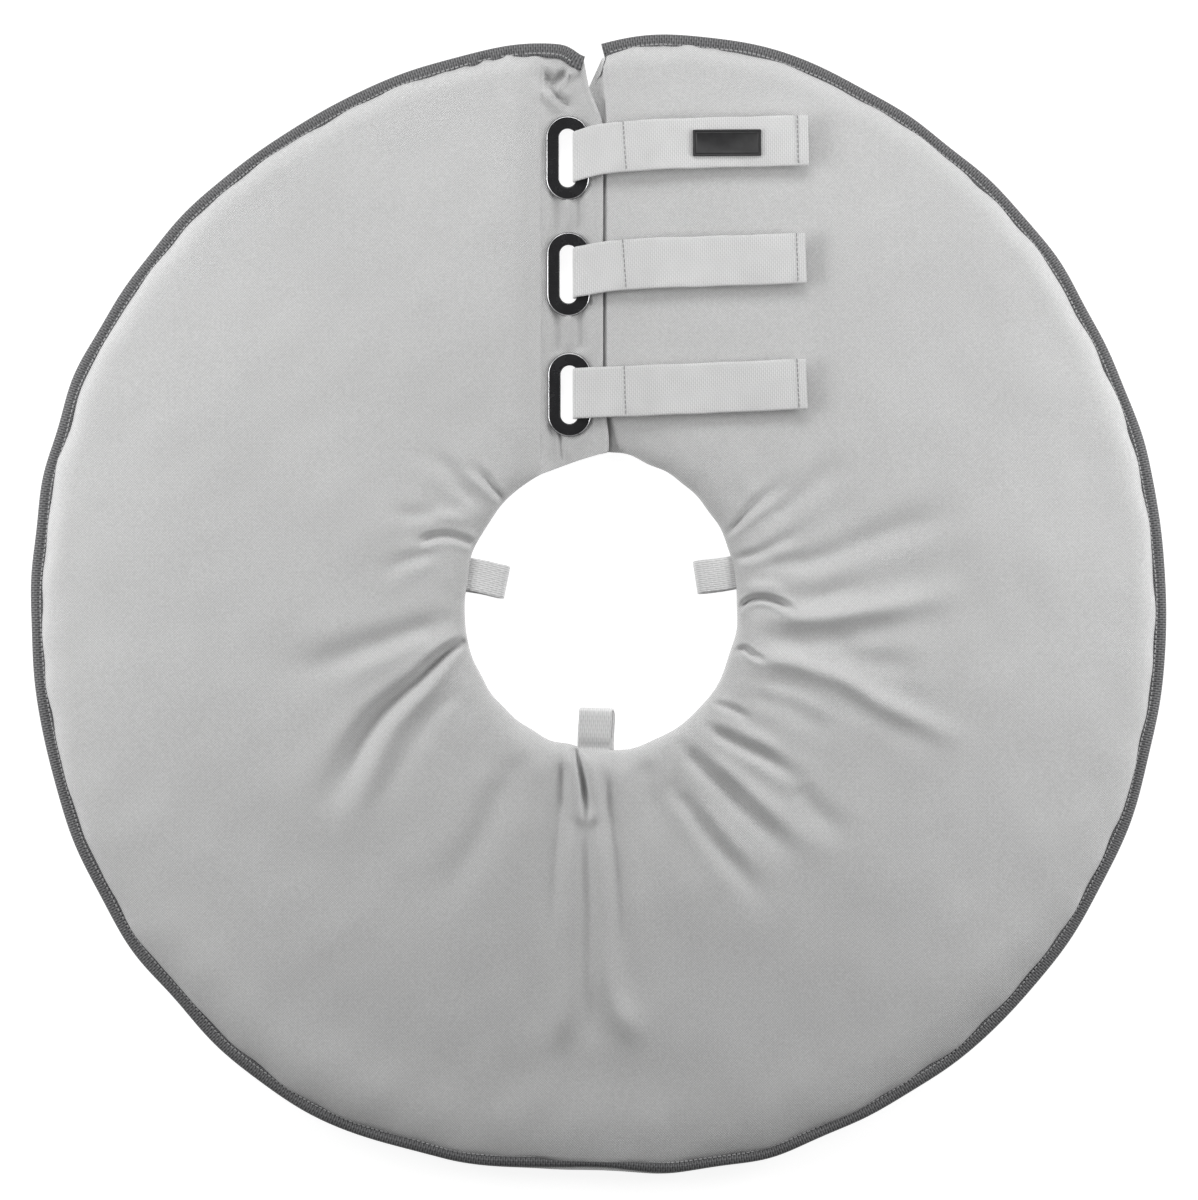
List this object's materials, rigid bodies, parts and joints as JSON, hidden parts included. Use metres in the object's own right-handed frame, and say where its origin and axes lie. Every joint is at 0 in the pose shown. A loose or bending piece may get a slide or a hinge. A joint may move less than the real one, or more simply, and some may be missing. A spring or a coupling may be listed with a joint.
{
  "type": "elizabethan collar",
  "caption": "Soft padded disc collar with a neck hole and a slit, closed by webbing straps that pass through oval eyelets and fold back on hook-and-loop tape; loops hold the pet's own collar.",
  "frame": {"origin": "middle of the disc on the surface it lies on", "axes": "+Z out of the front of the disc as it lies flat, +Y towards the slit, +X from the slit along the straps"},
  "size_m": [0.5669, 0.5724, 0.0216],
  "materials": {
    "shell_fabric": "fine plain-woven polyester, pale neutral grey, slightly puckered at the seams",
    "foam": "soft open foam sheet, hidden inside the covers",
    "binding": "ribbed dark grey binding tape, stitched",
    "webbing": "pale grey ribbed webbing",
    "hook_and_loop": "hook tape under the straps and loop tape on the disc",
    "eyelet": "polished black-nickel plating",
    "label": "moulded black rubber with a raised border, left blank"
  },
  "bodies": {
    "upper_panel": {"front_cover_left": "shell_fabric", "front_cover_right": "shell_fabric", "back_cover_left": "shell_fabric", "back_cover_right": "shell_fabric", "foam_left": "foam", "foam_right": "foam", "edge_binding_left": "binding", "edge_binding_right": "binding", "closure_flap": "shell_fabric", "eyelet_top": "eyelet", "eyelet_middle": "eyelet", "eyelet_bottom": "eyelet", "eyelet_washer_top": "eyelet", "eyelet_washer_middle": "eyelet", "eyelet_washer_bottom": "eyelet", "strap_anchor_top": "webbing", "strap_anchor_middle": "webbing", "strap_anchor_bottom": "webbing", "loop_tape_top": "hook_and_loop", "loop_tape_middle": "hook_and_loop", "loop_tape_bottom": "hook_and_loop"},
    "lower_panel": {"front_cover_lower": "shell_fabric", "back_cover_lower": "shell_fabric", "foam_lower": "foam", "edge_binding_lower": "binding"},
    "strap_top": {"strap_tongue_top": "webbing", "hook_tape_top": "hook_and_loop", "label_patch": "label"},
    "strap_middle": {"strap_tongue_middle": "webbing", "hook_tape_middle": "hook_and_loop"},
    "strap_bottom": {"strap_tongue_bottom": "webbing", "hook_tape_bottom": "hook_and_loop"},
    "neck_loop_left": {"neck_loop_left": "webbing"},
    "neck_loop_right": {"neck_loop_right": "webbing"},
    "neck_loop_lower": {"neck_loop_lower": "webbing"}
  },
  "joints": [
    {"name": "disc_fold", "type": "hinge", "parent": "upper_panel", "child": "lower_panel", "pos_m": [0, -0.022, 0.008], "axis": [-1, 0, 0], "range_deg": [0, 90], "stiffness_Nm_per_rad": 0.4},
    {"name": "strap_top_lift", "type": "hinge", "parent": "upper_panel", "child": "strap_top", "pos_m": [-0.01235, 0.2224, 0.0112], "axis": [0.0593, -0.9982, 0], "range_deg": [0, 150]},
    {"name": "strap_middle_lift", "type": "hinge", "parent": "upper_panel", "child": "strap_middle", "pos_m": [-0.01235, 0.1643, 0.0112], "axis": [0.0471, -0.9989, 0], "range_deg": [0, 150]},
    {"name": "strap_bottom_lift", "type": "hinge", "parent": "upper_panel", "child": "strap_bottom", "pos_m": [-0.01235, 0.1041, 0.0112], "axis": [0.0332, -0.9995, 0], "range_deg": [0, 150]},
    {"name": "neck_loop_left_flex", "type": "hinge", "parent": "upper_panel", "child": "neck_loop_left", "pos_m": [-0.06512, 0.01457, 0.008], "axis": [-0.1994, -0.9799, 0], "range_deg": [-45, 45], "stiffness_Nm_per_rad": 0.004},
    {"name": "neck_loop_right_flex", "type": "hinge", "parent": "upper_panel", "child": "neck_loop_right", "pos_m": [0.06711, 0.01555, 0.008], "axis": [-0.153, 0.9882, 0], "range_deg": [-45, 45], "stiffness_Nm_per_rad": 0.004},
    {"name": "neck_loop_lower_flex", "type": "hinge", "parent": "lower_panel", "child": "neck_loop_lower", "pos_m": [-0.00022, -0.07286, 0.008], "axis": [0.9986, -0.0523, 0], "range_deg": [-45, 45], "stiffness_Nm_per_rad": 0.004}
  ]
}
